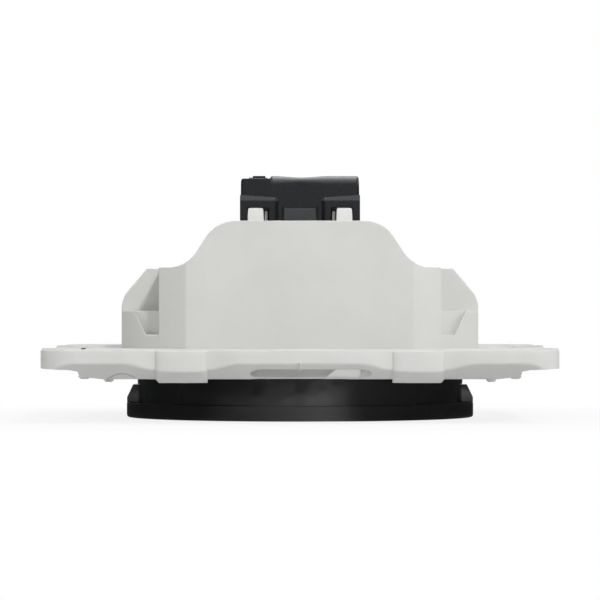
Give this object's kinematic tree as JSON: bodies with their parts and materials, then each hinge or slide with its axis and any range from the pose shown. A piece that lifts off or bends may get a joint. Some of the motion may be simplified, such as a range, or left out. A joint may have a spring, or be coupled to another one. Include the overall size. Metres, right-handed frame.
{
  "type": "flush-mounted rotary room controller",
  "caption": "Wall-mounted rotary room heating controller: square support frame, stepped rear housing, lift-off cable cover and a round dial that turns and presses on an encoder.",
  "frame": {"origin": "centre of the dial's front face, which is the lowest point as the part lies face down", "axes": "+Z out of the back, towards the wall box; -Y towards the edge that the picture shows; +X to the right in the picture"},
  "size_m": [0.0704, 0.0706, 0.0342],
  "materials": {
    "grey_plastic": "fine matt moulding",
    "charcoal_plastic": "satin",
    "black_plastic": "satin",
    "pale_plastic": "satin",
    "dark_grey_plastic": "satin",
    "red_plastic": "gloss",
    "clear_plastic": "clear",
    "board": "solder mask",
    "steel": "bright zinc",
    "can": "satin",
    "pin_brass": "tinned"
  },
  "bodies": {
    "housing": {"support_frame": "grey_plastic", "rear_housing": "grey_plastic", "carrier_plate": "charcoal_plastic", "carrier_screw_1": "steel", "carrier_screw_2": "steel", "carrier_screw_3": "steel", "carrier_screw_4": "steel", "encoder_bush": "steel", "encoder_body": "steel", "detent_spring": "steel", "push_dome": "steel", "control_board": "board", "temperature_sensor": "dark_grey_plastic", "board_header": "dark_grey_plastic", "bus_board": "board", "microcontroller": "dark_grey_plastic", "bus_choke": "dark_grey_plastic", "bus_capacitor_1": "can", "bus_capacitor_2": "can", "programming_switch": "dark_grey_plastic", "programming_led": "clear_plastic", "led_light_pipe": "clear_plastic", "bus_pin_positive": "pin_brass", "bus_pin_negative": "pin_brass", "bus_terminal_positive": "red_plastic", "bus_terminal_negative": "dark_grey_plastic"},
    "push": {"push_plunger": "pale_plastic"},
    "dial": {"dial_cap": "black_plastic", "dial_body": "black_plastic", "pointer_inlay": "pale_plastic", "encoder_shaft": "steel", "encoder_rotor": "dark_grey_plastic"},
    "program_button": {"programming_button": "red_plastic"},
    "cover": {"cable_cover": "charcoal_plastic"}
  },
  "joints": [
    {"name": "dial_press", "type": "slide", "parent": "housing", "child": "push", "axis": [0, 0, 1], "range_m": [0, 0.0005], "stiffness_N_per_m": 4000, "springref_m": -0.0006},
    {"name": "dial_turn", "type": "hinge", "parent": "push", "child": "dial", "pos_m": [0, 0, 0], "axis": [0, 0, 1], "continuous": true},
    {"name": "programming_press", "type": "slide", "parent": "housing", "child": "program_button", "axis": [0, 0, -1], "range_m": [0, 0.00025], "stiffness_N_per_m": 4000, "springref_m": -0.0004},
    {"name": "cover_lift", "type": "slide", "parent": "housing", "child": "cover", "axis": [0, 0, 1], "range_m": [0, 0.01]}
  ]
}
